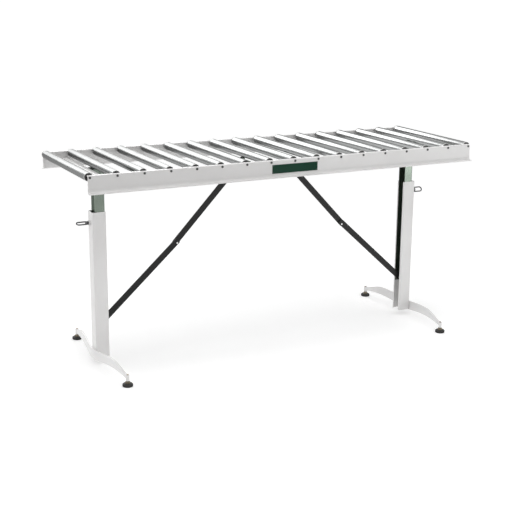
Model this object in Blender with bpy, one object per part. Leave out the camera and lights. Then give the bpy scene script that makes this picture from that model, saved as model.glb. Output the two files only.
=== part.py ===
"""Roller table: free rollers on fixed axles between two bent steel rails, carried by two T-shaped legs.

Each leg is a post that hinges under the frame, with a slotted column and its base sliding on it, a
clamp screw, two levelling feet and a brace of two links with a knee. Metres, +X along the table, +Z up.
The origin is on the floor, under the middle of the table. Legs are modelled on the +X side and mirrored.
"""
from math import cos, pi, radians, sin

import bmesh
import bpy
from mathutils import Matrix, Vector

# Gaps between pieces
SEAT_GAP = 0.0003        # between faces that rest on each other
RUN_GAP = 0.0003         # around pins, axles and studs

# Rollers and axles
ROLLER_COUNT = 17
ROLLER_PITCH = 0.104
ROLLER_RADIUS = 0.016
ROLLER_WALL = 0.0015
ROLLER_SIDES = 16
BEARING_DEPTH = 0.010    # bearing pressed into each end of the tube
HUB_RADIUS = 0.0125
HUB_REACH = 0.005        # bearing hub past the end of the tube
AXLE_RADIUS = 0.004
AXLE_SIDES = 8
AXLE_STUB = 0.0015       # axle past the outside of the rail
AXLE_HEIGHT = 0.800

# Rails
FRAME_WIDTH = 0.548      # over the webs' outer faces
RAIL_WALL = 0.003
RAIL_ABOVE_AXLE = 0.0078
RAIL_BELOW_AXLE = 0.060
RAIL_LIP = 0.008         # top lip, turned in
RAIL_FLANGE = 0.018      # bottom flange, turned out
RAIL_END = 0.008         # rail past the last axle
RAIL_LIP_BEND = 0.003    # bend radius at mid-wall
RAIL_FLANGE_BEND = 0.007

# Cross bars, leg brackets and their pins
BAR_WIDTH = 0.020
BAR_HEIGHT = 0.025
BAR_WALL = 0.002
ROLLER_ROOM = 0.0035     # free height under the rollers
BRACKET_WALL = 0.003
BRACKET_BEND = 0.004
BRACKET_HEIGHT = 0.027
PIVOT_RISE = 0.002       # pivot above the bracket's middle
POST_SWING = 0.006       # room behind the post for its top corner
PIVOT_IN = 0.010         # pivot inboard of the post's middle
PIVOT_RADIUS = 0.005
PIVOT_HEAD_RADIUS = 0.008
PIVOT_HEAD = 0.0025
PIN_SIDES = 12

# Posts
POST_WIDTH = 0.039
POST_WALL = 0.0025
POST_BEND = 0.005
POST_LOW = 0.155
POST_OVER_PIVOT = 0.012

# Columns
LEG_INSET = 0.124        # a leg's middle from the rails' end
COLUMN_WIDTH = 0.056
COLUMN_DEPTH = 0.052
COLUMN_WALL = 0.0022
COLUMN_LIP = 0.008
COLUMN_BEND = 0.003
COLUMN_LOW = 0.024
COLUMN_TOP = 0.613

# Clamp screws
CLAMP_BELOW_TOP = 0.043
CLAMP_RADIUS = 0.004
CLAMP_BOSS_RADIUS = 0.010
CLAMP_BOSS = 0.007
CLAMP_HUB_RADIUS = 0.0075
CLAMP_HUB = 0.012
BAIL_LENGTH = 0.044
BAIL_WIDTH = 0.024
BAIL_WIRE = 0.0024
BAIL_TURNS = {-1: 18.0, 1: 62.0}    # how far each bail is turned, in degrees

# Bases and levelling feet
FOOT_OUT = 0.001         # feet outboard of the leg's middle
FOOT_Y = 0.2985
ARM_WALL = 0.008
ARM_STEPS = 9
ARM_ROOT_LOW = 0.020
ARM_ROOT_HIGH = 0.060
ARM_END_LOW = 0.029
ARM_END_HIGH = 0.044
ARM_ARCH = 0.012
ARM_TAPER_FROM = 0.55    # share of the arm's run that keeps its full height
ARM_BEND_PAST = 0.004    # bend of the base past the column's corner
SLEEVE_RADIUS = 0.007
SLEEVE_LOW = 0.0225
SLEEVE_HIGH = 0.0455
STUD_RADIUS = 0.0045
STUD_TOP = 0.0475
NUT_RADIUS = 0.009
NUT_LOW = 0.0125
NUT_HIGH = 0.0195
PAD_RADIUS = 0.019
PAD_EDGE = 0.0015
PAD_SIDE = 0.009
FOOT_SIDES = 16

# Braces
LINK_WIDTH = 0.025
LINK_WALL = 0.005
LINK_GAP = 0.0006        # between the two links, side by side
KNEE_SHARE = 0.4829      # knee's place along the table, from the rod to the post's pin
KNEE_HEIGHT = 0.4515
KNEE_OFF_CENTRE = 0.005  # rivet below the links' middle line
KNEE_OVERRUN = 0.004     # links' middle line past the knee
RIVET_RADIUS = 0.003
RIVET_HEAD_RADIUS = 0.0055
RIVET_HEAD = 0.0022
ROD_X = 0.092
ROD_DROP = 0.033         # rod below the axles
ROD_RADIUS = 0.005
COLLAR_RADIUS = 0.008
COLLAR_LENGTH = 0.004
BRACE_PIN_IN = 0.013     # brace's pin inboard of the post's middle
BRACE_PIN_HEIGHT = 0.175
BRACE_PIN_RADIUS = 0.004

# Places that follow from the sizes above
WEB_OUT = FRAME_WIDTH / 2
WEB_IN = WEB_OUT - RAIL_WALL
HUB_END = WEB_IN - RAIL_LIP - 2 * RUN_GAP
TUBE_END = HUB_END - HUB_REACH
RAIL_HALF = ROLLER_PITCH * (ROLLER_COUNT - 1) / 2 + RAIL_END
UNDER_ROLLERS = AXLE_HEIGHT - ROLLER_RADIUS - ROLLER_ROOM
BRACKET_LOW = UNDER_ROLLERS - BRACKET_HEIGHT
PIVOT_HEIGHT = BRACKET_LOW + BRACKET_HEIGHT / 2 + PIVOT_RISE
LEG_X = RAIL_HALF - LEG_INSET
FOOT_X = LEG_X + FOOT_OUT
OPEN_FACE = LEG_X - COLUMN_WIDTH / 2
OUTER_FACE = LEG_X + COLUMN_WIDTH / 2
POST_DEPTH = COLUMN_DEPTH - 2 * COLUMN_WALL - 2 * SEAT_GAP
POST_X = OPEN_FACE + COLUMN_WALL / 2 + COLUMN_BEND + SEAT_GAP + POST_WIDTH / 2
PIVOT = Vector((POST_X - PIVOT_IN, 0, PIVOT_HEIGHT))
CHEEK_IN = POST_DEPTH / 2 + SEAT_GAP
CHEEK_OUT = CHEEK_IN + BRACKET_WALL
BRACKET_BACK = POST_X + POST_WIDTH / 2 + POST_SWING
CLAMP_HEIGHT = COLUMN_TOP - CLAMP_BELOW_TOP
LOWER_LINK_Y = (-LINK_GAP / 2 - LINK_WALL, -LINK_GAP / 2)
UPPER_LINK_Y = (LINK_GAP / 2, LINK_GAP / 2 + LINK_WALL)
BRACE_PIN = Vector((POST_X - BRACE_PIN_IN, 0, BRACE_PIN_HEIGHT))
ROD = Vector((ROD_X, 0, AXLE_HEIGHT - ROD_DROP))
KNEE = Vector((ROD_X + KNEE_SHARE * (BRACE_PIN.x - ROD_X), 0, KNEE_HEIGHT))
X_AXIS = Vector((1, 0, 0))
Y_AXIS = Vector((0, 1, 0))
Z_AXIS = Vector((0, 0, 1))


def make_material(name, colour, roughness, metallic):
    """A plain finish for one kind of piece."""
    material = bpy.data.materials.new(name)
    material.use_nodes = True
    shader = material.node_tree.nodes["Principled BSDF"]
    shader.inputs["Base Color"].default_value = (*colour, 1)
    shader.inputs["Roughness"].default_value = roughness
    shader.inputs["Metallic"].default_value = metallic
    return material


def mesh_object(name, bm):
    """Turns a bmesh into an object in world coordinates, with its faces pointing out."""
    bmesh.ops.recalc_face_normals(bm, faces=bm.faces)
    mesh = bpy.data.meshes.new(name)
    bm.to_mesh(mesh)
    bm.free()
    made = bpy.data.objects.new(name, mesh)
    bpy.context.scene.collection.objects.link(made)
    return made


def prism(name, loop, run):
    """A flat loop of points pushed along a run."""
    bm = bmesh.new()
    face = bm.faces.new([bm.verts.new(point) for point in loop])
    pushed = bmesh.ops.extrude_face_region(bm, geom=[face])
    moved = [part for part in pushed["geom"] if isinstance(part, bmesh.types.BMVert)]
    bmesh.ops.translate(bm, verts=moved, vec=run)
    return mesh_object(name, bm)


def turned(name, profile, sides, centre, axis, bored=False):
    """A profile of (radius, height) points turned about an axis, closed by flat ends or round a bore."""
    side = Z_AXIS if abs(axis.z) < 0.5 else X_AXIS
    other = axis.cross(side)
    spokes = [side * cos(2 * pi * k / sides) + other * sin(2 * pi * k / sides) for k in range(sides)]
    bm = bmesh.new()
    rings = []
    for radius, height in profile:
        rings.append([bm.verts.new(centre + axis * height + radius * spoke) for spoke in spokes])
    bands = list(zip(rings, rings[1:]))
    if bored:
        bands.append((rings[-1], rings[0]))
    else:
        bm.faces.new(rings[0])
        bm.faces.new(rings[-1])
    for first, second in bands:
        for k in range(sides):
            bm.faces.new((first[k - 1], first[k], second[k], second[k - 1]))
    return mesh_object(name, bm)


def rod(name, radius, start, end, sides=PIN_SIDES):
    """A plain round bar between two points."""
    run = end - start
    return turned(name, [(radius, 0), (radius, run.length)], sides, start, run.normalized())


def combine(base, other, operation):
    """Joins a piece to another, or cuts it away, and keeps the result as a plain mesh."""
    modifier = base.modifiers.new("shape", "BOOLEAN")
    modifier.operation = operation
    modifier.object = other
    graph = bpy.context.evaluated_depsgraph_get()
    shaped = bpy.data.meshes.new_from_object(base.evaluated_get(graph))
    base.modifiers.clear()
    base.data = shaped
    bpy.data.objects.remove(other)


def settle(made, material, origin, side=1, parent=None):
    """Mirrors a piece to its side, puts its origin on its own axis, and gives it its finish."""
    mesh = made.data
    if side < 0:
        mesh.transform(Matrix.Diagonal((-1, 1, 1, 1)))
        mesh.flip_normals()
    place = Vector((side * origin.x, origin.y, origin.z))
    mesh.transform(Matrix.Translation(-place))
    mesh.materials.clear()
    mesh.materials.append(material)
    mesh.shade_smooth()
    mesh.set_sharp_from_angle(angle=radians(35))
    made.location = place
    if parent:
        made.parent = parent
        bpy.context.view_layer.update()
        made.matrix_parent_inverse = parent.matrix_world.inverted()
    return made


def bent_strip(path, wall, bends, steps=3):
    """The outline of a sheet bent along a path of flat points, with a bend radius for each corner."""
    left, right = [], []
    points = [Vector(point) for point in path]
    for i, point in enumerate(points):
        before = (point - points[i - 1]).normalized() if i else None
        after = (points[i + 1] - point).normalized() if i < len(points) - 1 else None
        along = after if before is None else before
        across = Vector((-along.y, along.x)) * wall / 2
        if before is None or after is None:
            left.append(point + across)
            right.append(point - across)
            continue
        bend = bends[i - 1]
        turn = before.angle_signed(after) * -1
        sense = 1 if turn > 0 else -1
        start = point - before * bend * abs(sin(turn) / (1 + cos(turn)))
        centre = start + Vector((-before.y, before.x)) * sense * bend
        for k in range(steps + 1):
            spoke = Matrix.Rotation(turn * k / steps, 2) @ (start - centre)
            left.append(centre + spoke * (bend - sense * wall / 2) / bend)
            right.append(centre + spoke * (bend + sense * wall / 2) / bend)
    return left + right[::-1]


def channel(name, across, depth, lip, wall, bend, upright):
    """An upright bent channel, open towards the table's middle, with or without a lip at each edge."""
    near = across[0] + (wall / 2 if lip else 0)
    far = across[1] - wall / 2
    half = depth / 2
    edge = half - wall / 2
    path = [(near, -edge), (far, -edge), (far, edge), (near, edge)]
    if lip:
        path = [(near, lip - half)] + path + [(near, half - lip)]
    section = bent_strip(path, wall, [bend] * (len(path) - 2))
    low, high = upright
    return prism(name, [(p.x, p.y, low) for p in section], (0, 0, high - low))


def collared(radius, reach, link):
    """The profile of a cross rod with a collar each side of the link that turns on it."""
    profile = [(radius, -reach)]
    for start in (link[0] - SEAT_GAP - COLLAR_LENGTH, link[1] + SEAT_GAP):
        end = start + COLLAR_LENGTH
        profile += [(radius, start), (COLLAR_RADIUS, start), (COLLAR_RADIUS, end), (radius, end)]
    return profile + [(radius, reach)]


def round_bar(start, end, radius, steps=8):
    """The outline, in X and Z, of a straight bar with round ends."""
    along = (end - start).normalized()
    across = Y_AXIS.cross(along)
    loop = []
    for middle, first in ((end, across), (start, -across)):
        for k in range(steps + 1):
            loop.append(middle + radius * (Matrix.Rotation(-pi * k / steps, 3, "Y") @ first))
    return loop


def box(name, low, high):
    """A block between two corners."""
    loop = [(low[0], low[1], low[2]), (high[0], low[1], low[2]),
            (high[0], high[1], low[2]), (low[0], high[1], low[2])]
    return prism(name, loop, (0, 0, high[2] - low[2]))


def roller_places():
    """The axles' places along the table."""
    first = -ROLLER_PITCH * (ROLLER_COUNT - 1) / 2
    return [first + ROLLER_PITCH * i for i in range(ROLLER_COUNT)]


def make_rail(name, side, material):
    """A bent rail: web with a hole for each axle, top lip turned in, bottom flange turned out."""
    top = AXLE_HEIGHT + RAIL_ABOVE_AXLE - RAIL_WALL / 2
    bottom = AXLE_HEIGHT - RAIL_BELOW_AXLE + RAIL_WALL / 2
    web = WEB_OUT - RAIL_WALL / 2
    path = [(WEB_IN - RAIL_LIP, top), (web, top), (web, bottom), (WEB_OUT + RAIL_FLANGE, bottom)]
    section = bent_strip(path, RAIL_WALL, [RAIL_LIP_BEND, RAIL_FLANGE_BEND])
    rail = prism(name, [(-RAIL_HALF, side * p.x, p.y) for p in section], (2 * RAIL_HALF, 0, 0))
    for x in roller_places():
        inside = Vector((x, side * (WEB_IN - RAIL_WALL), AXLE_HEIGHT))
        outside = Vector((x, side * (WEB_OUT + RAIL_WALL), AXLE_HEIGHT))
        combine(rail, rod("hole", AXLE_RADIUS + RUN_GAP, inside, outside, AXLE_SIDES), "DIFFERENCE")
    return settle(rail, material, Vector((0, side * WEB_OUT, AXLE_HEIGHT)))


def make_axle(name, x, material):
    """A fixed axle, from outside one rail to outside the other."""
    reach = WEB_OUT + AXLE_STUB
    start = Vector((x, -reach, AXLE_HEIGHT))
    axle = rod(name, AXLE_RADIUS, start, Vector((x, reach, AXLE_HEIGHT)), AXLE_SIDES)
    return settle(axle, material, Vector((x, 0, AXLE_HEIGHT)))


def make_roller(name, x, material):
    """A tube with a bearing pressed into each end, whose hubs stand out towards the rails."""
    bore = AXLE_RADIUS + RUN_GAP
    inside = ROLLER_RADIUS - ROLLER_WALL
    half = [(bore, HUB_END), (HUB_RADIUS, HUB_END), (HUB_RADIUS, TUBE_END), (ROLLER_RADIUS, TUBE_END)]
    hollow = [(inside, TUBE_END - BEARING_DEPTH), (bore, TUBE_END - BEARING_DEPTH)]
    profile = half + [(r, -y) for r, y in half[::-1]]
    profile += [(r, -y) for r, y in hollow[::-1]] + hollow
    centre = Vector((x, 0, AXLE_HEIGHT))
    return settle(turned(name, profile, ROLLER_SIDES, centre, Y_AXIS, bored=True), material, centre)


def make_cross_bar(name, side, material):
    """A square tube across the frame, behind a leg's bracket."""
    near = BRACKET_BACK + BRACKET_WALL + SEAT_GAP
    top = UNDER_ROLLERS
    reach = WEB_IN - SEAT_GAP
    bar = box(name, (near, -reach, top - BAR_HEIGHT), (near + BAR_WIDTH, reach, top))
    hollow_low = (near + BAR_WALL, -WEB_OUT, top - BAR_HEIGHT + BAR_WALL)
    hollow_high = (near + BAR_WIDTH - BAR_WALL, WEB_OUT, top - BAR_WALL)
    combine(bar, box("hollow", hollow_low, hollow_high), "DIFFERENCE")
    return settle(bar, material, Vector((near + BAR_WIDTH / 2, 0, top - BAR_HEIGHT / 2)), side)


def make_bracket(name, side, material):
    """A U-shaped bracket whose cheeks hold the post's pivot pin."""
    middle = CHEEK_IN + BRACKET_WALL / 2
    back = BRACKET_BACK + BRACKET_WALL / 2
    front = POST_X - POST_WIDTH / 2
    path = [(front, -middle), (back, -middle), (back, middle), (front, middle)]
    section = bent_strip(path, BRACKET_WALL, [BRACKET_BEND, BRACKET_BEND])
    bracket = prism(name, [(p.x, p.y, BRACKET_LOW) for p in section], (0, 0, BRACKET_HEIGHT))
    span = Y_AXIS * (CHEEK_OUT + PIVOT_HEAD)
    combine(bracket, rod("hole", PIVOT_RADIUS + RUN_GAP, PIVOT - span, PIVOT + span), "DIFFERENCE")
    return settle(bracket, material, PIVOT, side)


def make_pivot_pin(name, side, material):
    """The pin a leg folds on, with a head outside each cheek."""
    shank = CHEEK_OUT + SEAT_GAP
    half = [(PIVOT_HEAD_RADIUS, shank + PIVOT_HEAD), (PIVOT_HEAD_RADIUS, shank), (PIVOT_RADIUS, shank)]
    profile = half + [(r, -y) for r, y in half[::-1]]
    return settle(turned(name, profile, PIN_SIDES, PIVOT, Y_AXIS), material, PIVOT, side)


def make_brace_rod(name, side, material):
    """The rod across the frame that a brace hangs on, with a collar each side of the link."""
    profile = collared(ROD_RADIUS, WEB_IN - SEAT_GAP, UPPER_LINK_Y)
    return settle(turned(name, profile, PIN_SIDES, ROD, Y_AXIS), material, ROD, side)


def make_post(name, side, material):
    """The hinged channel of a leg, with a cross pin at its foot that carries the brace."""
    across = (POST_X - POST_WIDTH / 2, POST_X + POST_WIDTH / 2)
    upright = (POST_LOW, PIVOT_HEIGHT + POST_OVER_PIVOT)
    post = channel(name, across, POST_DEPTH, 0, POST_WALL, POST_BEND, upright)
    span = Y_AXIS * POST_DEPTH
    combine(post, rod("hole", PIVOT_RADIUS + RUN_GAP, PIVOT - span, PIVOT + span), "DIFFERENCE")
    profile = collared(BRACE_PIN_RADIUS, POST_DEPTH / 2 - POST_WALL / 2, LOWER_LINK_Y)
    combine(post, turned("pin", profile, PIN_SIDES, BRACE_PIN, Y_AXIS), "UNION")
    return settle(post, material, PIVOT, side)


def make_column(name, side, material, parent):
    """The slotted outer channel that slides on the post, with a boss for the clamp screw."""
    across = (OPEN_FACE, OUTER_FACE)
    upright = (COLUMN_LOW, COLUMN_TOP)
    column = channel(name, across, COLUMN_DEPTH, COLUMN_LIP, COLUMN_WALL, COLUMN_BEND, upright)
    screw = Vector((OUTER_FACE, 0, CLAMP_HEIGHT))
    boss = rod("boss", CLAMP_BOSS_RADIUS, screw - X_AXIS * COLUMN_WALL / 2, screw + X_AXIS * CLAMP_BOSS)
    combine(column, boss, "UNION")
    span = X_AXIS * 2 * CLAMP_BOSS
    combine(column, rod("hole", CLAMP_RADIUS + RUN_GAP, screw - span, screw + span), "DIFFERENCE")
    return settle(column, material, Vector((LEG_X, 0, COLUMN_LOW)), side, parent)


def make_clamp(name, side, material, parent):
    """A clamp screw whose tip bears on the post, with a wire bail to turn it by."""
    tip = POST_X + POST_WIDTH / 2 + SEAT_GAP
    seat = OUTER_FACE + CLAMP_BOSS + SEAT_GAP
    axis_point = Vector((0, 0, CLAMP_HEIGHT))
    profile = [(CLAMP_RADIUS, tip), (CLAMP_RADIUS, seat), (CLAMP_HUB_RADIUS, seat),
               (CLAMP_HUB_RADIUS, seat + CLAMP_HUB)]
    clamp = turned(name, profile, PIN_SIDES, axis_point, X_AXIS)
    turn = Matrix.Rotation(radians(BAIL_TURNS[side]), 3, "X")
    radius = BAIL_WIDTH / 2 - BAIL_WIRE
    root = seat + CLAMP_HUB / 2
    middle = root + BAIL_LENGTH - radius - BAIL_WIRE
    path = [Vector((root, 0, 0)), Vector((root, radius, 0))]
    path += [Vector((middle + radius * sin(pi * k / 8), radius * cos(pi * k / 8), 0)) for k in range(9)]
    path += [Vector((root, -radius, 0))]
    placed = [axis_point + turn @ point for point in path]
    combine(clamp, wire_loop("bail", placed, BAIL_WIRE, turn @ Z_AXIS), "UNION")
    return settle(clamp, material, Vector((OUTER_FACE, 0, CLAMP_HEIGHT)), side, parent)


def wire_loop(name, path, radius, normal, sides=8):
    """A closed loop of round wire along a flat path whose plane has this normal."""
    bm = bmesh.new()
    rings = []
    for i, point in enumerate(path):
        before = (point - path[i - 1]).normalized()
        after = (path[(i + 1) % len(path)] - point).normalized()
        along = (before + after).normalized()
        outward = along.cross(normal) / max(along.dot(after), 0.5)
        angles = [2 * pi * k / sides for k in range(sides)]
        rings.append([bm.verts.new(point + radius * (outward * cos(a) + normal * sin(a))) for a in angles])
    for i, ring in enumerate(rings):
        for k in range(sides):
            bm.faces.new((rings[i - 1][k - 1], rings[i - 1][k], ring[k], ring[k - 1]))
    return mesh_object(name, bm)


def ease(share):
    """A smooth step from 0 to 1."""
    share = min(max(share, 0), 1)
    return share * share * (3 - 2 * share)


def arm_edges(share):
    """The low and high edge of an arm, from its root (0) to its sleeve (1)."""
    arch = ARM_ARCH * sin(pi * share)
    taper = ease((share - ARM_TAPER_FROM) / (1 - ARM_TAPER_FROM))
    low = ARM_ROOT_LOW + (ARM_END_LOW - ARM_ROOT_LOW) * ease(share) + arch
    high = ARM_ROOT_HIGH + (ARM_END_HIGH - ARM_ROOT_HIGH) * taper + arch
    return low, high


def make_base(name, side, material, parent):
    """The splayed base: a band on the column's outer face, with an arm to a sleeve each way."""
    middle = OUTER_FACE + SEAT_GAP + ARM_WALL / 2
    root = Vector((middle, COLUMN_DEPTH / 2 + ARM_BEND_PAST))
    end = Vector((FOOT_X, FOOT_Y))
    along = (end - root).normalized()
    mitre = (along + Vector((0, 1))).normalized()
    half_arm = []
    for k in range(ARM_STEPS + 1):
        direction = along if k else mitre
        width = ARM_WALL / 2 / (1 if k else mitre.y)
        across = Vector((direction.y, -direction.x)) * width
        half_arm.append((root + (end - root) * k / ARM_STEPS, across, arm_edges(k / ARM_STEPS)))
    flip = [(Vector((p.x, -p.y)), Vector((a.x, -a.y)), e) for p, a, e in half_arm[::-1]]
    bm = bmesh.new()
    rings = []
    for point, across, (low, high) in flip + half_arm:
        near = point - across
        far = point + across
        corners = [(*near, low), (*far, low), (*far, high), (*near, high)]
        rings.append([bm.verts.new(corner) for corner in corners])
    for first, second in zip(rings, rings[1:]):
        for k in range(4):
            bm.faces.new((first[k - 1], first[k], second[k], second[k - 1]))
    bm.faces.new(rings[0])
    bm.faces.new(rings[-1])
    base = mesh_object(name, bm)
    for y in (-FOOT_Y, FOOT_Y):
        low = Vector((FOOT_X, y, SLEEVE_LOW))
        high = Vector((FOOT_X, y, SLEEVE_HIGH))
        combine(base, rod("sleeve", SLEEVE_RADIUS, low, high), "UNION")
        bore = STUD_RADIUS + RUN_GAP
        combine(base, rod("bore", bore, low - Z_AXIS * bore, high + Z_AXIS * bore), "DIFFERENCE")
    return settle(base, material, Vector((LEG_X, 0, 0)), side, parent)


def make_foot(name, side, y, material, parent):
    """A levelling foot: round pad, locking nut and threaded stud."""
    profile = [(PAD_RADIUS - PAD_EDGE, 0), (PAD_RADIUS, 2 * PAD_EDGE), (PAD_RADIUS, PAD_SIDE),
               ((PAD_RADIUS + NUT_RADIUS) / 2, NUT_LOW), (NUT_RADIUS, NUT_LOW), (NUT_RADIUS, NUT_HIGH),
               (STUD_RADIUS, NUT_HIGH), (STUD_RADIUS, STUD_TOP)]
    place = Vector((FOOT_X, y, 0))
    return settle(turned(name, profile, FOOT_SIDES, place, Z_AXIS), material, place, side, parent)


def link_middle(pivot):
    """A link's middle line at the knee, above the rivet and just past it."""
    along = (KNEE - pivot).normalized()
    above = Y_AXIS.cross(along)
    above *= 1 if above.z > 0 else -1
    return KNEE + above * KNEE_OFF_CENTRE + along * KNEE_OVERRUN


def make_upper_link(name, side, material):
    """The brace's upper link, from the rod under the frame to the knee."""
    low, high = UPPER_LINK_Y
    loop = [p + Y_AXIS * low for p in round_bar(ROD, link_middle(ROD), LINK_WIDTH / 2)]
    link = prism(name, loop, Y_AXIS * LINK_WALL)
    for centre, radius in ((ROD, ROD_RADIUS), (KNEE, RIVET_RADIUS)):
        start = centre + Y_AXIS * (low - LINK_WALL)
        hole = rod("hole", radius + RUN_GAP, start, centre + Y_AXIS * (high + LINK_WALL))
        combine(link, hole, "DIFFERENCE")
    return settle(link, material, ROD, side)


def make_lower_link(name, side, material, parent):
    """The brace's lower link, from the post's cross pin to the knee, with the knee's rivet."""
    low, high = LOWER_LINK_Y
    loop = [p + Y_AXIS * low for p in round_bar(BRACE_PIN, link_middle(BRACE_PIN), LINK_WIDTH / 2)]
    link = prism(name, loop, Y_AXIS * LINK_WALL)
    start = BRACE_PIN + Y_AXIS * (low - LINK_WALL)
    hole = rod("hole", BRACE_PIN_RADIUS + RUN_GAP, start, BRACE_PIN + Y_AXIS * (high + LINK_WALL))
    combine(link, hole, "DIFFERENCE")
    outside = KNEE + Y_AXIS * (low - RIVET_HEAD)
    inside = KNEE + Y_AXIS * (low + high) / 2
    combine(link, rod("rivet", RIVET_HEAD_RADIUS, outside, inside), "UNION")
    return settle(link, material, BRACE_PIN, side, parent)


def make_leg(side, finishes):
    """One leg with its bracket, brace, column, base, feet and clamp screw."""
    end = "left" if side < 0 else "right"
    make_cross_bar(f"cross_bar_{end}", side, finishes["white"])
    make_bracket(f"leg_bracket_{end}", side, finishes["zinc"])
    make_pivot_pin(f"pivot_pin_{end}", side, finishes["zinc"])
    make_brace_rod(f"brace_rod_{end}", side, finishes["zinc"])
    make_upper_link(f"upper_link_{end}", side, finishes["black"])
    post = make_post(f"post_{end}", side, finishes["zinc"])
    make_lower_link(f"lower_link_{end}", side, finishes["black"], post)
    column = make_column(f"column_{end}", side, finishes["white"], post)
    make_clamp(f"clamp_screw_{end}", side, finishes["steel"], column)
    make_base(f"base_{end}", side, finishes["white"], column)
    for y, where in ((-FOOT_Y, "front"), (FOOT_Y, "back")):
        make_foot(f"foot_{end}_{where}", side, y, finishes["plastic"], column)


def make_table():
    """The whole roller table."""
    for leftover in list(bpy.data.objects):
        bpy.data.objects.remove(leftover)
    finishes = {
        "white": make_material("white_paint", (0.80, 0.80, 0.79), 0.40, 0.0),
        "zinc": make_material("green_zinc", (0.33, 0.38, 0.35), 0.35, 0.8),
        "steel": make_material("bright_steel", (0.75, 0.76, 0.77), 0.22, 1.0),
        "black": make_material("black_paint", (0.02, 0.02, 0.02), 0.45, 0.0),
        "plastic": make_material("black_plastic", (0.03, 0.03, 0.03), 0.60, 0.0),
    }
    make_rail("rail_front", -1, finishes["white"])
    make_rail("rail_back", 1, finishes["white"])
    for number, x in enumerate(roller_places(), 1):
        make_axle(f"axle_{number:02d}", x, finishes["zinc"])
        make_roller(f"roller_{number:02d}", x, finishes["steel"])
    for side in (-1, 1):
        make_leg(side, finishes)


make_table()
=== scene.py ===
from math import cos, pi, radians, sin

import bmesh
import bpy
from mathutils import Matrix, Vector


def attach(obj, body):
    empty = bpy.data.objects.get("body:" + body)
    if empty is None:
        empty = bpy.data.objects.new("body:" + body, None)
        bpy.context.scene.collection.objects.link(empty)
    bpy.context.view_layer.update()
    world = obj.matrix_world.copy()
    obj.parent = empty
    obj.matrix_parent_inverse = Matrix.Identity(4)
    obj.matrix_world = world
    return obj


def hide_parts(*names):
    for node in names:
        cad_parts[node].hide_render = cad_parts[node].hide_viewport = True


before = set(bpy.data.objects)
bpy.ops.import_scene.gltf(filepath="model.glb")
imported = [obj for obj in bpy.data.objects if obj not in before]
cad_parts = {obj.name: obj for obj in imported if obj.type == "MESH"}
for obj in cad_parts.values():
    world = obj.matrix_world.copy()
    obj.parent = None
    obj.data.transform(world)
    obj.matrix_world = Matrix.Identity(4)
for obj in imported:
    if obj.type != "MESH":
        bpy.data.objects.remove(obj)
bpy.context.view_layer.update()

# Places and sizes on the solids, in metres
ENDS = {"left": -1, "right": 1}
WHERE = {"front": -1, "back": 1}
AXLE_COUNT = 17
AXLE_PITCH = 0.104
AXLE_HEIGHT = 0.800
AXLE_PLACES = [AXLE_PITCH * (i - AXLE_COUNT // 2) for i in range(AXLE_COUNT)]
WEB_FACE = 0.274
FLANGE_TOP = 0.743
RAIL_HALF = 0.840
KNEE = Vector((0.3851, 0, 0.4515))
LOWER_LINK_FACE = -0.0053
CLAMP_HEIGHT = 0.570
COLUMN_FACE = 0.744
BASE_TOP = 0.060
BASE_LOW = 0.024
FOOT_PLACE = Vector((0.717, 0.2985, 0))

# Widths of rounded edges, and the angle from which an edge stays sharp in shading
PLATE_EDGE = 0.0003
SHEET_EDGE = 0.0005
BAR_EDGE = 0.0006
PIN_EDGE = 0.0008
TUBE_EDGE = 0.0012
BASE_EDGE = 0.0014
EDGE_STEPS = 2
SHARP_ANGLE = radians(35)


def put(tree, kind, joins=None, **options):
    """Adds a node to a tree, sets its options, and fills or joins its inputs."""
    node = tree.nodes.new(kind)
    for name, value in options.items():
        setattr(node, name, value)
    for name, value in (joins or {}).items():
        if isinstance(value, bpy.types.NodeSocket):
            tree.links.new(value, node.inputs[name])
        else:
            node.inputs[name].default_value = value
    return node


# Finishes: noise scales are per metre, and a bump is its strength and its depth

PAINT_CLOUD = 6.0
PAINT_GLOSS = 40.0
PAINT_PEEL = 900.0
PAINT_UNEVEN = 0.06
PAINT_BUMP = (0.12, 0.0004)
METAL_CLOUD = 18.0
METAL_SMOOTHER = 0.05
METAL_ROUGHER = 0.07
METAL_BUMP = (0.05, 0.0002)
PLASTIC_CLOUD = 60.0
PLASTIC_GRAIN = 1400.0
PLASTIC_BUMP = (0.2, 0.0003)


def start_finish(name, colour, roughness, metallic=0.0, sheen_level=0.5):
    """A new finish, as its material, its tree and its shader."""
    material = bpy.data.materials.new(name)
    material.use_nodes = True
    shader = material.node_tree.nodes["Principled BSDF"]
    shader.inputs["Base Color"].default_value = (*colour, 1)
    shader.inputs["Roughness"].default_value = roughness
    shader.inputs["Metallic"].default_value = metallic
    shader.inputs["Specular IOR Level"].default_value = sheen_level
    return material, material.node_tree, shader


def mottle(tree, scale, stretch=(1, 1, 1), detail=3.0):
    """Noise on the piece's own coordinates, stretched along its axes."""
    place = put(tree, "ShaderNodeTexCoord")
    turned = put(tree, "ShaderNodeMapping", {"Vector": place.outputs["Object"], "Scale": stretch})
    joins = {"Vector": turned.outputs["Vector"], "Scale": scale, "Detail": detail}
    return put(tree, "ShaderNodeTexNoise", joins).outputs["Fac"]


def spread(tree, value, low, high, near=0.3, far=0.7):
    """A value's middle range spread between two levels."""
    joins = {"Value": value, "From Min": near, "From Max": far, "To Min": low, "To Max": high}
    return put(tree, "ShaderNodeMapRange", joins).outputs["Result"]


def shade_between(tree, value, dark, light, near=0.3, far=0.7):
    """A colour between two, by a value."""
    ramp = put(tree, "ShaderNodeValToRGB", {"Fac": value})
    for stop, place, colour in zip(ramp.color_ramp.elements, (near, far), (dark, light)):
        stop.position = place
        stop.color = (*colour, 1)
    return ramp.outputs["Color"]


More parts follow.
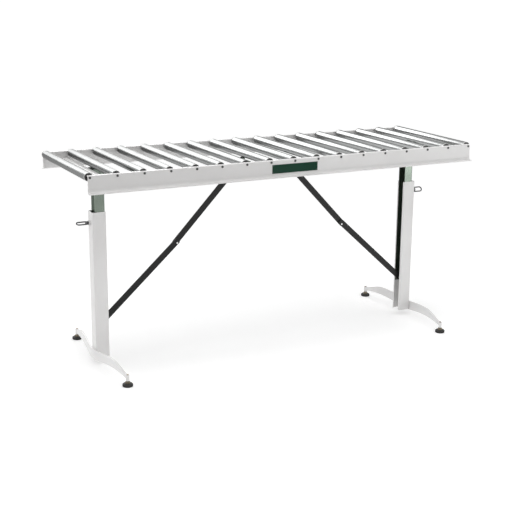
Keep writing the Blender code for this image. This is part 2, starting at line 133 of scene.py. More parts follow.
def emboss(tree, shader, height, strength, depth):
    """Raises the surface by a height field."""
    joins = {"Height": height, "Strength": strength, "Distance": depth}
    bump = put(tree, "ShaderNodeBump", joins)
    tree.links.new(bump.outputs["Normal"], shader.inputs["Normal"])


def paint_finish(name, dark, light, roughness, sheen_level=0.5):
    """Sprayed paint: cloudy colour, a fine orange-peel surface and slightly uneven gloss."""
    material, tree, shader = start_finish(name, light, roughness, 0.0, sheen_level)
    cloud = shade_between(tree, mottle(tree, PAINT_CLOUD), dark, light)
    gloss = spread(tree, mottle(tree, PAINT_GLOSS),
                   roughness - PAINT_UNEVEN, roughness + PAINT_UNEVEN)
    tree.links.new(cloud, shader.inputs["Base Color"])
    tree.links.new(gloss, shader.inputs["Roughness"])
    emboss(tree, shader, mottle(tree, PAINT_PEEL, detail=1.0), *PAINT_BUMP)
    return material


def metal_finish(name, dark, light, roughness, stretch, scale, edge=1.0):
    """Plated or drawn metal: cloudy colour, and streaks one way in gloss and surface.

    An edge level below 1 makes it duller at glancing angles.
    """
    material, tree, shader = start_finish(name, light, roughness, 1.0)
    shader.inputs["Specular Tint"].default_value = (edge, edge, edge, 1)
    streaks = mottle(tree, scale, stretch, 4.0)
    cloud = shade_between(tree, mottle(tree, METAL_CLOUD), dark, light)
    gloss = spread(tree, streaks, roughness - METAL_SMOOTHER, roughness + METAL_ROUGHER)
    tree.links.new(cloud, shader.inputs["Base Color"])
    tree.links.new(gloss, shader.inputs["Roughness"])
    emboss(tree, shader, streaks, *METAL_BUMP)
    return material


def plastic_finish(name, dark, light, roughness):
    """Moulded plastic or rubber with a fine grain."""
    material, tree, shader = start_finish(name, light, roughness)
    cloud = shade_between(tree, mottle(tree, PLASTIC_CLOUD), dark, light)
    tree.links.new(cloud, shader.inputs["Base Color"])
    emboss(tree, shader, mottle(tree, PLASTIC_GRAIN, detail=2.0), *PLASTIC_BUMP)
    return material


WHITE = paint_finish("white_spray_paint", (0.74, 0.73, 0.725), (0.79, 0.785, 0.78), 0.38)
BLACK = paint_finish("black_spray_paint", (0.004, 0.004, 0.004), (0.010, 0.010, 0.010), 0.45, 0.20)
GREEN = paint_finish("green_plate_enamel", (0.001, 0.032, 0.016), (0.002, 0.042, 0.022), 0.36, 0.1)
ROLLER = metal_finish("roller_bright_zinc", (0.330, 0.335, 0.335), (0.372, 0.378, 0.377), 0.21,
                      (500, 6, 500), 1.0, 0.32)
ZINC = metal_finish("post_green_zinc", (0.145, 0.172, 0.147), (0.180, 0.210, 0.182), 0.28,
                    (300, 300, 6), 1.0, 0.30)
WIRE = metal_finish("wire_dull_steel", (0.070, 0.070, 0.072), (0.115, 0.115, 0.118), 0.34,
                    (60, 60, 60), 4.0)
RIVET = metal_finish("rivet_bright_zinc", (0.50, 0.50, 0.50), (0.62, 0.62, 0.62), 0.40,
                     (200, 200, 200), 1.0)
BRASSY = metal_finish("nut_dull_brass", (0.155, 0.132, 0.098), (0.215, 0.188, 0.145), 0.36,
                      (200, 200, 40), 1.0)
DARK_END = metal_finish("axle_end_dark_steel", (0.05, 0.05, 0.05), (0.10, 0.10, 0.10), 0.45,
                        (300, 60, 300), 1.0)
HUB = plastic_finish("hub_black_plastic", (0.010, 0.010, 0.010), (0.020, 0.020, 0.020), 0.45)
# Pale ring at each roller end: a painted highlight on the tube's rolled rim, in a pale plastic
# finish.
PAINTED_RIM_HIGHLIGHT = plastic_finish("rim_painted_highlight", (0.62, 0.62, 0.61), (0.70, 0.70, 0.69), 0.45)
PAD = plastic_finish("pad_black_rubber", (0.005, 0.0045, 0.004), (0.012, 0.011, 0.010), 0.66)


# Pieces

SAME_PLACE = 1e-5               # points nearer than this are one
FLAT_ANGLE = radians(0.5)       # faces nearer in angle than this are one
ROUNDED_ANGLE = radians(40)     # edges sharper than this are rounded


def keep(name, mesh, body, slot, *nodes):
    """Puts a finished mesh on a body, and hides the solids it stands for; its slot is not used."""
    piece = bpy.data.objects.new(name, mesh)
    bpy.context.scene.collection.objects.link(piece)
    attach(piece, body)
    if nodes:
        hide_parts(*nodes)


def smoothed(mesh):
    """Shades a mesh smooth between its sharp edges."""
    mesh.shade_smooth()
    mesh.set_sharp_from_angle(angle=SHARP_ANGLE)
    return mesh


def baked(start, kind, options):
    """A plain mesh of a start mesh with a modifier on it."""
    holder = bpy.data.objects.new("holder", start)
    bpy.context.scene.collection.objects.link(holder)
    modifier = holder.modifiers.new(kind, kind)
    for name, value in options.items():
        if name.startswith("Socket_"):
            modifier[name] = value
        else:
            setattr(modifier, name, value)
    graph = bpy.context.evaluated_depsgraph_get()
    mesh = bpy.data.meshes.new_from_object(holder.evaluated_get(graph))
    bpy.data.objects.remove(holder)
    return mesh


def drawn(bm, name, finish):
    """A plain mesh of what was drawn, in one finish."""
    mesh = bpy.data.meshes.new(name)
    bm.to_mesh(mesh)
    bm.free()
    mesh.materials.append(finish)
    return mesh


def path_mesh(points, closed=False):
    """A path of edges."""
    mesh = bpy.data.meshes.new("path")
    count = len(points)
    edges = [(i, (i + 1) % count) for i in range(count if closed else count - 1)]
    mesh.from_pydata(points, edges, [])
    return mesh


def softened(node, body, slot, finish, edge):
    """A solid with its sharp edges rounded, as bent sheet, tube and bar have them."""
    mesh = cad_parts[node].data.copy()
    bm = bmesh.new()
    bm.from_mesh(mesh)
    bmesh.ops.remove_doubles(bm, verts=bm.verts, dist=SAME_PLACE)
    bmesh.ops.dissolve_limit(bm, angle_limit=FLAT_ANGLE, verts=bm.verts, edges=bm.edges)
    bm.to_mesh(mesh)
    bm.free()
    rounding = {"width": edge, "segments": EDGE_STEPS, "limit_method": "ANGLE",
                "angle_limit": ROUNDED_ANGLE}
    mesh = smoothed(baked(mesh, "BEVEL", rounding))
    mesh = baked(mesh, "WEIGHTED_NORMAL", {"keep_sharp": True})
    mesh.materials.clear()
    mesh.materials.append(finish)
    keep(f"{node}_finished", mesh, body, slot, node)


# Geometry node trees

FLAT = 1e-5    # height of a ring that is a flat face
ROUND_SIDES = 24
PAD_SIDES = 48
NUT_SIDES = 6
GRIP_SIDES = 8
CORNER_STEPS = 5


def new_tree(name):
    """An empty geometry tree with its way in and its way out."""
    tree = bpy.data.node_groups.new(name, "GeometryNodeTree")
    for way in ("INPUT", "OUTPUT"):
        tree.interface.new_socket("Geometry", in_out=way, socket_type="NodeSocketGeometry")
    return tree, tree.nodes.new("NodeGroupInput"), tree.nodes.new("NodeGroupOutput")


def named_inputs(tree, way_in, sizes):
    """Adds named inputs to a tree, and gives their sockets by name."""
    kinds = {float: "NodeSocketFloat", int: "NodeSocketInt", Vector: "NodeSocketVector"}
    for name, value in sizes.items():
        tree.interface.new_socket(name, in_out="INPUT", socket_type=kinds[type(value)])
    return {name: way_in.outputs[name] for name in sizes}


def grown(tree, sizes, start):
    """What a geometry tree makes of a start mesh, with its inputs set by identifier."""
    items = [item for item in tree.interface.items_tree if item.in_out == "INPUT"]
    names = {item.name: item.identifier for item in items}
    options = {"node_group": tree}
    for name, value in sizes.items():
        options[names[name]] = tuple(value) if isinstance(value, Vector) else value
    return smoothed(baked(start, "NODES", options))


def joined(tree, pieces):
    """Several geometries as one."""
    join = tree.nodes.new("GeometryNodeJoinGeometry")
    for piece in pieces:
        tree.links.new(piece, join.inputs["Geometry"])
    return join.outputs["Geometry"]


def placed(tree, geometry, place, turn=(0, 0, 0)):
    """A geometry turned and then moved."""
    move = {"Geometry": geometry, "Translation": place, "Rotation": turn}
    return put(tree, "GeometryNodeTransform", move).outputs["Geometry"]


def coated(tree, geometry, finish):
    """A geometry in a finish."""
    joins = {"Geometry": geometry, "Material": finish}
    return put(tree, "GeometryNodeSetMaterial", joins).outputs["Geometry"]


def ring_stack(tree, rings, sides, start=0.0):
    """Rings set end on end along Z: each has a low and a high radius, a height and a finish."""
    pieces = []
    for low, high, height, finish in rings:
        cone = {"Vertices": sides, "Radius Bottom": low, "Radius Top": high, "Depth": height}
        ring = put(tree, "GeometryNodeMeshCone", cone, fill_type="NONE")
        up = put(tree, "ShaderNodeCombineXYZ", {"Z": start})
        moved = placed(tree, ring.outputs["Mesh"], up.outputs["Vector"])
        pieces.append(coated(tree, moved, finish))
        total = put(tree, "ShaderNodeMath", {0: start, 1: height}, operation="ADD")
        start = total.outputs["Value"]
    return joined(tree, pieces)


def finish_tree(tree, way_out, geometry):
    """Realizes what repeats, welds its seams, and joins it to the tree's way out."""
    real = put(tree, "GeometryNodeRealizeInstances", {"Geometry": geometry})
    joins = {"Geometry": real.outputs["Geometry"], "Distance": SAME_PLACE}
    weld = put(tree, "GeometryNodeMergeByDistance", joins)
    tree.links.new(weld.outputs["Geometry"], way_out.inputs["Geometry"])


ROLLER_SIZES = {
    "Place": Vector((0, 0, AXLE_HEIGHT)), "Tube radius": 0.016, "Tube half": 0.2540,
    "Rim": 0.0034, "Rim radius": 0.0157, "Hub radius": 0.0154, "Hub reach": 0.0042,
    "Hub edge": 0.0008, "Hub face radius": 0.0147, "Race radius": 0.0075, "Bore radius": 0.0043,
    "Sides": 64,
}


def roller_tree():
    """A roller: bright tube, and at each end a pale ring that is a painted highlight on the tube's
    rolled rim, a black hub and a steel race.
    """
    tree, way_in, way_out = new_tree("roller")
    size = named_inputs(tree, way_in, ROLLER_SIZES)
    rings = [
        (size["Tube radius"], size["Tube radius"], size["Tube half"], ROLLER),
        # The pale rings from tube to hub are a painted highlight on the rolled rim.
        (size["Tube radius"], size["Rim radius"], size["Rim"], PAINTED_RIM_HIGHLIGHT),
        (size["Rim radius"], size["Hub radius"], FLAT, PAINTED_RIM_HIGHLIGHT),
        (size["Hub radius"], size["Hub radius"], size["Hub reach"], HUB),
        (size["Hub radius"], size["Hub face radius"], size["Hub edge"], HUB),
        (size["Hub face radius"], size["Race radius"], FLAT, HUB),
        (size["Race radius"], size["Bore radius"], FLAT, WIRE),
    ]
    half = ring_stack(tree, rings, size["Sides"])
    whole = joined(tree, [half, placed(tree, half, (0, 0, 0), (pi, 0, 0))])
    finish_tree(tree, way_out, placed(tree, whole, size["Place"], (-pi / 2, 0, 0)))
    return tree


HEAD_SIZES = {
    "Flange radius": 0.006, "Flange height": 0.001, "Head radius": 0.004, "Head height": 0.003,
    "Crown radius": 0.003, "Crown height": 0.001, "Head sides": ROUND_SIDES,
}


def head_tree(name, finish):
    """Fastener heads, one on each point of a mesh, facing the way that point says."""
    tree, way_in, way_out = new_tree(name)
    size = named_inputs(tree, way_in, HEAD_SIZES)
    flange = ring_stack(tree, [
        (size["Flange radius"], size["Flange radius"], size["Flange height"], finish),
        (size["Flange radius"], 0.0, FLAT, finish),
    ], ROUND_SIDES)
    head = ring_stack(tree, [
        (size["Head radius"], size["Head radius"], size["Head height"], finish),
        (size["Head radius"], size["Crown radius"], size["Crown height"], finish),
        (size["Crown radius"], 0.0, FLAT, finish),
    ], size["Head sides"], size["Flange height"])
    facing = put(tree, "GeometryNodeInputNamedAttribute", {"Name": "facing"},
                 data_type="FLOAT_VECTOR")
    turn = put(tree, "FunctionNodeAlignRotationToVector",
               {"Vector": facing.outputs["Attribute"]}, axis="Z")
    copies = put(tree, "GeometryNodeInstanceOnPoints", {
        "Points": way_in.outputs["Geometry"], "Instance": joined(tree, [flange, head]),
        "Rotation": turn.outputs["Rotation"]})
    finish_tree(tree, way_out, copies.outputs["Instances"])
    return tree


def heads(name, tree, sizes, places, facing, body, slot):
    """Fastener heads on a body, one at each place and each facing its own way."""
    mesh = bpy.data.meshes.new("points")
    mesh.from_pydata(places, [], [])
    ways = mesh.attributes.new("facing", "FLOAT_VECTOR", "POINT")
    for item, value in zip(ways.data, facing):
        item.vector = value
    keep(name, grown(tree, {**HEAD_SIZES, **sizes}, mesh), body, slot)


FOOT_SIZES = {
    "Place": Vector((0, 0, 0)), "Sole radius": 0.0175, "Pad radius": 0.019, "Sole height": 0.001,
    "Side height": 0.009, "Crown radius": 0.0165, "Crown height": 0.0025, "Nut radius": 0.0098,
    "Nut height": 0.007, "Stud radius": 0.0040, "Stud height": 0.028, "Thread radius": 0.0045,
    "Thread pitch": 0.0015, "Thread count": 18, "Grip radius": 0.0013, "Grip count": 24,
}
NUT_SEAT = 0.0125
NUT_TOP = 0.0195


def foot_tree():
    """A levelling foot: rubber pad with grips, hexagon nut and threaded stud."""
    tree, way_in, way_out = new_tree("levelling_foot")
    size = named_inputs(tree, way_in, FOOT_SIZES)
    pad = ring_stack(tree, [
        (0.0, size["Sole radius"], FLAT, PAD),
        (size["Sole radius"], size["Pad radius"], size["Sole height"], PAD),
        (size["Pad radius"], size["Pad radius"], size["Side height"], PAD),
        (size["Pad radius"], size["Crown radius"], size["Crown height"], PAD),
        (size["Crown radius"], 0.0, FLAT, PAD),
    ], PAD_SIDES)
    nut = ring_stack(tree, [
        (0.0, size["Nut radius"], FLAT, BRASSY),
        (size["Nut radius"], size["Nut radius"], size["Nut height"], BRASSY),
        (size["Nut radius"], 0.0, FLAT, BRASSY),
    ], NUT_SIDES, NUT_SEAT)
    stud = ring_stack(tree, [
        (size["Stud radius"], size["Stud radius"], size["Stud height"], BRASSY),
        (size["Stud radius"], 0.0, FLAT, BRASSY),
    ], ROUND_SIDES, NUT_TOP)
    halved = put(tree, "ShaderNodeMath", {0: size["Thread pitch"], 1: 0.5}, operation="MULTIPLY")
    half_pitch = halved.outputs["Value"]
    ridge = ring_stack(tree, [
        (size["Stud radius"], size["Thread radius"], half_pitch, BRASSY),
        (size["Thread radius"], size["Stud radius"], half_pitch, BRASSY),
    ], ROUND_SIDES)
    step = put(tree, "ShaderNodeCombineXYZ", {"Z": size["Thread pitch"]})
    turns = put(tree, "GeometryNodeMeshLine", {
        "Count": size["Thread count"], "Start Location": (0, 0, NUT_TOP),
        "Offset": step.outputs["Vector"]})
    thread = put(tree, "GeometryNodeInstanceOnPoints",
                 {"Points": turns.outputs["Mesh"], "Instance": ridge})
    circle = put(tree, "GeometryNodeMeshCircle",
                 {"Vertices": size["Grip count"], "Radius": size["Pad radius"]})
    grip = ring_stack(tree, [
        (0.0, size["Grip radius"], FLAT, PAD),
        (size["Grip radius"], size["Grip radius"], size["Side height"], PAD),
        (size["Grip radius"], 0.0, FLAT, PAD),
    ], GRIP_SIDES, size["Sole height"])
    grips = put(tree, "GeometryNodeInstanceOnPoints",
                {"Points": circle.outputs["Mesh"], "Instance": grip})
    whole = joined(tree, [pad, nut, stud, thread.outputs["Instances"], grips.outputs["Instances"]])
    finish_tree(tree, way_out, placed(tree, whole, size["Place"]))
    return tree


WIRE_SIZES = {"Wire radius": 0.0028, "Corner": 0.004, "Sides": 12}


def wire_tree():
    """Round wire along a closed path of edges."""
    tree, way_in, way_out = new_tree("wire_bail")
    size = named_inputs(tree, way_in, WIRE_SIZES)
    path = put(tree, "GeometryNodeMeshToCurve", {"Mesh": way_in.outputs["Geometry"]})
    soft = put(tree, "GeometryNodeFilletCurve", {
        "Curve": path.outputs["Curve"], "Radius": size["Corner"], "Limit Radius": True,
        "Count": CORNER_STEPS}, mode="POLY")
    section = put(tree, "GeometryNodeCurvePrimitiveCircle",
                  {"Radius": size["Wire radius"], "Resolution": size["Sides"]})
    wire = put(tree, "GeometryNodeCurveToMesh",
               {"Curve": soft.outputs["Curve"], "Profile Curve": section.outputs["Curve"]})
    finish_tree(tree, way_out, coated(tree, wire.outputs["Mesh"], WIRE))
    return tree


WELD_SIZES = {"Spacing": 0.0028, "Bead radius": 0.0021, "Unevenness": 0.2, "Seed": 7}


def weld_tree():
    """A run of weld: overlapping beads along a path of edges."""
    tree, way_in, way_out = new_tree("weld_run")
    size = named_inputs(tree, way_in, WELD_SIZES)
    path = put(tree, "GeometryNodeMeshToCurve", {"Mesh": way_in.outputs["Geometry"]})
    steps = put(tree, "GeometryNodeResampleCurve",
                {"Curve": path.outputs["Curve"], "Length": size["Spacing"]}, mode="LENGTH")
    bead = put(tree, "GeometryNodeMeshIcoSphere",
               {"Radius": size["Bead radius"], "Subdivisions": 2})
    least = put(tree, "ShaderNodeMath", {0: 1.0, 1: size["Unevenness"]}, operation="SUBTRACT")
    scale = put(tree, "FunctionNodeRandomValue",
                {"Min": least.outputs["Value"], "Max": 1.0, "Seed": size["Seed"]},
                data_type="FLOAT")
    run = put(tree, "GeometryNodeInstanceOnPoints", {
        "Points": steps.outputs["Curve"], "Scale": scale.outputs["Value"],
        "Instance": bead.outputs["Mesh"]})
    finish_tree(tree, way_out, coated(tree, run.outputs["Instances"], WHITE))
    return tree


# The frame and its rollers

BEND_RADIUS = 0.015
BEND_STEPS = 10
BEND_SUNK = 0.0004
BEND_HALF = RAIL_HALF - 0.0006
AXLE_CAP = {
    "Flange radius": 0.0046, "Flange height": 0.0016, "Head radius": 0.0036,
    "Head height": 0.0004, "Crown radius": 0.0030, "Crown height": 0.0004,
}


def dress_bend(where, side):
    """The hollow round in which a rail's web turns out into its flange."""
    section = []
    for i in range(BEND_STEPS + 1):
        angle = pi / 2 * i / BEND_STEPS
        section.append((side * (WEB_FACE + BEND_RADIUS * (1 - cos(angle))),
                        FLANGE_TOP + BEND_RADIUS * (1 - sin(angle))))
    section.append((side * (WEB_FACE - BEND_SUNK), FLANGE_TOP - BEND_SUNK))
    bm = bmesh.new()
    near, far = [[bm.verts.new((x, y, z)) for y, z in section] for x in (-BEND_HALF, BEND_HALF)]
    for i in range(len(section)):
        bm.faces.new((near[i - 1], near[i], far[i], far[i - 1]))
    bm.faces.new(near)
    bm.faces.new(far)
    bmesh.ops.recalc_face_normals(bm, faces=bm.faces)
    mesh = smoothed(drawn(bm, "bend", WHITE))
    keep(f"rail_bend_{where}", mesh, "frame", "white_paint")


def dress_frame():
    """Rails, cross bars, brackets, pins, rods and axles, with what holds them together."""
    for where, side in WHERE.items():
        softened(f"rail_{where}", "frame", "white_paint", WHITE, SHEET_EDGE)
        dress_bend(where, side)
    for end in ENDS:
        softened(f"cross_bar_{end}", "frame", "white_paint", WHITE, TUBE_EDGE)
        softened(f"leg_bracket_{end}", "frame", "green_zinc", ZINC, SHEET_EDGE)
        softened(f"pivot_pin_{end}", "frame", "green_zinc", ZINC, PIN_EDGE)
        softened(f"brace_rod_{end}", "frame", "green_zinc", ZINC, SHEET_EDGE)
    for number in range(1, AXLE_COUNT + 1):
        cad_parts[f"axle_{number:02d}"].data.materials[0] = DARK_END
    places = [(x, side * WEB_FACE, AXLE_HEIGHT) for x in AXLE_PLACES for side in WHERE.values()]
    facing = [(0, side, 0) for x in AXLE_PLACES for side in WHERE.values()]
    tree = head_tree("axle_ends", DARK_END)
    heads("axle_ends", tree, AXLE_CAP, places, facing, "frame", "green_zinc")


def dress_rollers():
    """A finished roller on each axle."""
    tree = roller_tree()
    for number, x in enumerate(AXLE_PLACES, 1):
        sizes = {**ROLLER_SIZES, "Place": Vector((x, 0, AXLE_HEIGHT))}
        body = f"roller_{number:02d}"
        mesh = grown(tree, sizes, path_mesh([(0, 0, 0)]))
        keep(f"{body}_finished", mesh, body, "bright_steel", body)


PLATE_HALF = 0.100
PLATE_TOP = 0.790
PLATE_LOW = 0.756
PLATE_WALL = 0.0012
PLATE_BORDER = 0.003
PLATE_RIVET_INSET = 0.0048
PLATE_RIVET = {
    "Flange radius": 0.0014, "Flange height": 0.0002, "Head radius": 0.0012,
    "Head height": 0.0002, "Crown radius": 0.0006, "Crown height": 0.0003,
}


def dress_plate():
    """A bare enamelled plate on the front rail, held by four small rivets."""
    bm = bmesh.new()
    bmesh.ops.create_cube(bm, size=1.0)
    size = Matrix.Diagonal((2 * PLATE_HALF, PLATE_WALL, PLATE_TOP - PLATE_LOW, 1))
    middle = (PLATE_TOP + PLATE_LOW) / 2
    place = Matrix.Translation((0, -WEB_FACE - PLATE_WALL / 2, middle))
    bmesh.ops.transform(bm, matrix=place @ size, verts=bm.verts)
    front = [face for face in bm.faces if face.normal.y < -0.5]
    bmesh.ops.inset_region(bm, faces=front, thickness=PLATE_BORDER, depth=-PLATE_WALL / 4)
    rounding = {"width": PLATE_EDGE, "segments": EDGE_STEPS, "limit_method": "ANGLE"}
    mesh = smoothed(baked(drawn(bm, "plate", GREEN), "BEVEL", rounding))
    keep("front_plate", mesh, "frame", "white_paint")
    seat = -WEB_FACE - PLATE_WALL * 3 / 4
    places = [(side * (PLATE_HALF - PLATE_RIVET_INSET), seat, z) for side in ENDS.values()
              for z in (PLATE_LOW + PLATE_RIVET_INSET, PLATE_TOP - PLATE_RIVET_INSET)]
    facing = [(0, -1, 0)] * len(places)
    tree = head_tree("plate_rivets", WIRE)
    heads("plate_rivets", tree, PLATE_RIVET, places, facing, "frame", "bright_steel")


# The legs

SCREW_TIP = 0.7317
SCREW_RADIUS = 0.0040
SCREW_CHAMFER = 0.0006
SCREW_SIDES = 32
COLLAR_SEAT = COLUMN_FACE + 0.0073
COLLAR_RADIUS = 0.0075
COLLAR_LENGTH = 0.012
BAIL_TURNS = {"left": 18.0, "right": 62.0}    # degrees about the screw
BAIL_STRAIGHT = 0.0320
BAIL_HALF = 0.0096
BAIL_STEPS = 12
WELD_HALF = 0.018
KNEE_RIVET = {
    "Flange radius": 0.0042, "Flange height": 0.0020, "Head radius": 0.0038,
    "Head height": 0.0002, "Crown radius": 0.0026, "Crown height": 0.0007,
}


def turned_mesh(profile, centre, side, finish):
    """A profile of (radius, place along X) points turned about X, closed by flat ends."""
    bm = bmesh.new()
    angles = [2 * pi * k / SCREW_SIDES for k in range(SCREW_SIDES)]
    rings = []
    for radius, x in profile:
        spots = [Vector((side * x, radius * cos(a), radius * sin(a))) for a in angles]
        rings.append([bm.verts.new(centre + spot) for spot in spots])
    for first, second in zip(rings, rings[1:]):
        for k in range(SCREW_SIDES):
            bm.faces.new((first[k - 1], first[k], second[k], second[k - 1]))
    bm.faces.new(rings[0])
    bm.faces.new(rings[-1])
    bmesh.ops.recalc_face_normals(bm, faces=bm.faces)
    return smoothed(drawn(bm, "turned", finish))


def dress_clamp(end, side, tree):
    """A clamp screw with its wire bail."""
    body = f"clamp_screw_{end}"
    centre = Vector((0, 0, CLAMP_HEIGHT))
    collar_end = COLLAR_SEAT + COLLAR_LENGTH
    profile = [
        (SCREW_RADIUS - SCREW_CHAMFER, SCREW_TIP),
        (SCREW_RADIUS, SCREW_TIP + SCREW_CHAMFER),
        (SCREW_RADIUS, COLLAR_SEAT),
        (COLLAR_RADIUS - SCREW_CHAMFER, COLLAR_SEAT),
        (COLLAR_RADIUS, COLLAR_SEAT + SCREW_CHAMFER),
        (COLLAR_RADIUS, collar_end - SCREW_CHAMFER),
        (COLLAR_RADIUS - SCREW_CHAMFER, collar_end),
    ]
    screw = turned_mesh(profile, centre, side, WIRE)
    root = COLLAR_SEAT + COLLAR_LENGTH / 2
    path = [Vector((root, BAIL_HALF, 0))]
    for k in range(BAIL_STEPS + 1):
        angle = pi * k / BAIL_STEPS
        path.append(Vector((root + BAIL_STRAIGHT + BAIL_HALF * sin(angle),
                            BAIL_HALF * cos(angle), 0)))
    path.append(Vector((root, -BAIL_HALF, 0)))
    turn = Matrix.Rotation(radians(BAIL_TURNS[end]), 3, "X")
    spots = [turn @ point + centre for point in path]
    loop = path_mesh([(side * spot.x, spot.y, spot.z) for spot in spots], closed=True)
    bail = grown(tree, WIRE_SIZES, loop)
    keep(f"{body}_screw", screw, body, "bright_steel", body)
    keep(f"{body}_bail", bail, body, "bright_steel")


def dress_leg(end, side, trees):
    """One leg: post, column, base with its welds, feet, brace and clamp screw."""
    softened(f"post_{end}", f"post_{end}", "green_zinc", ZINC, BAR_EDGE)
    softened(f"column_{end}", f"column_{end}", "white_paint", WHITE, SHEET_EDGE)
    softened(f"base_{end}", f"column_{end}", "white_paint", WHITE, BASE_EDGE)
    for link in (f"upper_link_{end}", f"lower_link_{end}"):
        softened(link, link, "black_paint", BLACK, BAR_EDGE)
    knee = (side * KNEE.x, LOWER_LINK_FACE, KNEE.z)
    heads(f"knee_rivet_{end}", trees["rivet"], KNEE_RIVET, [knee], [(0, -1, 0)],
          f"lower_link_{end}", "bright_steel")
    x = side * COLUMN_FACE
    for name, z in (("top", BASE_TOP), ("bottom", BASE_LOW)):
        seam = path_mesh([(x, -WELD_HALF, z), (x, WELD_HALF, z)])
        run = grown(trees["weld"], WELD_SIZES, seam)
        keep(f"base_weld_{end}_{name}", run, f"column_{end}", "white_paint")
    for where, way in WHERE.items():
        body = f"foot_{end}_{where}"
        place = Vector((side * FOOT_PLACE.x, way * FOOT_PLACE.y, 0))
        mesh = grown(trees["foot"], {**FOOT_SIZES, "Place": place}, path_mesh([(0, 0, 0)]))
        keep(f"{body}_finished", mesh, body, "black_plastic", body)
    dress_clamp(end, side, trees["wire"])


# The stage

FLOOR_HALF = 60.0
FLOOR_COLOUR = (0.90, 0.90, 0.90, 1)
FLOOR_GLOW = 0.70     # as reflections see it
NEAR_GLOW = 0.20      # as the camera sees it, under the table and far from it
FAR_GLOW = 0.67
GLOW_REACH = 2.0
WORLD_LIGHT = 0.40


def backdrop_white(tree):
    """One where the camera, a reflection or a see-through surface looks on, else nought."""
    path = tree.nodes.new("ShaderNodeLightPath").outputs
    seen = put(tree, "ShaderNodeMath", {0: path["Is Camera Ray"], 1: path["Is Glossy Ray"]},
               operation="ADD")
    total = put(tree, "ShaderNodeMath", {0: seen.outputs["Value"], 1: path["Is Transmission Ray"]},
                operation="ADD", use_clamp=True)
    return total.outputs["Value"]


def floor_glow(tree):
    """The floor's own light: to the camera, just enough for white, so that shadows show."""
    place = tree.nodes.new("ShaderNodeTexCoord").outputs["Object"]
    away = put(tree, "ShaderNodeVectorMath", {0: place, 1: place}, operation="DOT_PRODUCT")
    square = away.outputs["Value"]
    whole = put(tree, "ShaderNodeMath", {0: square, 1: GLOW_REACH ** 2}, operation="ADD")
    share = put(tree, "ShaderNodeMath", {0: square, 1: whole.outputs["Value"]}, operation="DIVIDE")
    level = put(tree, "ShaderNodeMapRange",
                {"Value": share.outputs["Value"], "To Min": NEAR_GLOW, "To Max": FAR_GLOW})
    direct = tree.nodes.new("ShaderNodeLightPath").outputs["Is Camera Ray"]
    joins = {0: direct, 2: FLOOR_GLOW, 3: level.outputs["Result"]}
    return put(tree, "ShaderNodeMix", joins).outputs[0]


def make_floor():
    """A plain white floor that keeps a soft shadow."""
    mesh = bpy.data.meshes.new("floor")
    corners = [(-FLOOR_HALF, -FLOOR_HALF, 0), (FLOOR_HALF, -FLOOR_HALF, 0),
               (FLOOR_HALF, FLOOR_HALF, 0), (-FLOOR_HALF, FLOOR_HALF, 0)]
    mesh.from_pydata(corners, [], [(0, 1, 2, 3)])
    floor = bpy.data.objects.new("floor", mesh)
    bpy.context.scene.collection.objects.link(floor)
    material = bpy.data.materials.new("floor_white")
    material.use_nodes = True
    tree = material.node_tree
    tree.nodes.clear()
    level = put(tree, "ShaderNodeMath", {0: backdrop_white(tree), 1: floor_glow(tree)},
                operation="MULTIPLY")
    glow = put(tree, "ShaderNodeEmission",
               {"Color": (1, 1, 1, 1), "Strength": level.outputs["Value"]})
    matt = put(tree, "ShaderNodeBsdfDiffuse", {"Color": FLOOR_COLOUR})
    both = put(tree, "ShaderNodeAddShader", {0: glow.outputs["Emission"], 1: matt.outputs["BSDF"]})
    put(tree, "ShaderNodeOutputMaterial", {"Surface": both.outputs["Shader"]})
    mesh.materials.append(material)


def make_world():
    """Soft white light from all round, seen as plain white."""
    world = bpy.data.worlds.new("studio")
    bpy.context.scene.world = world
    world.use_nodes = True
    tree = world.node_tree
    shade = tree.nodes["Background"]
    joins = {"Value": backdrop_white(tree), "To Min": WORLD_LIGHT, "To Max": 1.0}
    level = put(tree, "ShaderNodeMapRange", joins)
    shade.inputs["Color"].default_value = (1, 1, 1, 1)
    tree.links.new(level.outputs["Result"], shade.inputs["Strength"])


def make_lamp(name, place, target, width, height, power):
    """A soft box lamp that points at a target and isn't seen itself."""
    data = bpy.data.lights.new(name, "AREA")
    data.shape = "RECTANGLE"
    data.size = width
    data.size_y = height
    data.energy = power
    lamp = bpy.data.objects.new(name, data)
    bpy.context.scene.collection.objects.link(lamp)
    lamp.location = place
    aim = Vector(target) - Vector(place)
    lamp.rotation_euler = aim.to_track_quat("-Z", "Y").to_euler()
    lamp.visible_camera = False
    return lamp


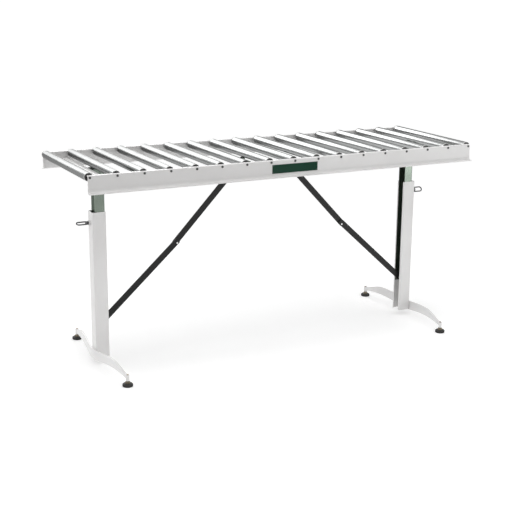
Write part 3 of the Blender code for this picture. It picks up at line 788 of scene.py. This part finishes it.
def make_lamps():
    """Soft boxes, fills that no reflection shows, and cards that only reflections show."""
    make_lamp("overhead", place=(0, 0.10, 2.7), target=(0, 0.10, 0),
              width=3.4, height=1.8, power=46)
    make_lamp("side_left", place=(-4.0, 0.2, 1.2), target=(0, 0, 0.4),
              width=2.4, height=2.0, power=34)
    make_lamp("front_right", place=(3.6, -3.6, 0.80), target=(0.7, 0, 0.6),
              width=2.2, height=1.4, power=32)
    back_wall = make_lamp("back_wall", place=(-0.3, 4.2, 2.72), target=(-0.3, 0, 2.72),
                          width=3.8, height=2.57, power=132)
    front_fill = make_lamp("front_fill", place=(0.3, -4.6, 0.9), target=(0, 0, 0.5),
                           width=3.0, height=1.4, power=6)
    floor_wash = make_lamp("floor_wash", place=(0, -1.30, 0.72), target=(0, -1.299, 0),
                           width=2.6, height=1.0, power=7)
    right_card = make_lamp("right_card", place=(3.3, -3.7, 0.45), target=(0.7, 0, 0.6),
                           width=2.0, height=0.8, power=20)
    for fill in (front_fill, floor_wash):
        fill.visible_glossy = False
    for card in (back_wall, right_card):
        card.visible_diffuse = False


CAMERA_PLACE = (-2.080, -3.989, 1.557)
CAMERA_TURN = -27.32
CAMERA_DOWN = 15.08
CAMERA_ROLL = 0.49
CAMERA_LENS = 77.7
SENSOR_WIDTH = 36.0


def make_camera():
    """The camera at the photograph's place and angle."""
    data = bpy.data.cameras.new("camera")
    data.sensor_fit = "HORIZONTAL"
    data.sensor_width = SENSOR_WIDTH
    data.lens = CAMERA_LENS
    camera = bpy.data.objects.new("camera", data)
    bpy.context.scene.collection.objects.link(camera)
    turn = Matrix.Rotation(radians(CAMERA_TURN), 4, "Z")
    tilt = Matrix.Rotation(radians(90 - CAMERA_DOWN), 4, "X")
    roll = Matrix.Rotation(radians(CAMERA_ROLL), 4, "Z")
    camera.matrix_world = Matrix.Translation(CAMERA_PLACE) @ turn @ tilt @ roll
    bpy.context.scene.camera = camera


make_camera()
make_floor()
make_world()
make_lamps()
bpy.context.scene.view_settings.view_transform = "Standard"

dress_frame()
dress_rollers()
dress_plate()
leg_trees = {"rivet": head_tree("knee_rivets", RIVET), "weld": weld_tree(),
             "foot": foot_tree(), "wire": wire_tree()}
for leg_end, leg_side in ENDS.items():
    dress_leg(leg_end, leg_side, leg_trees)
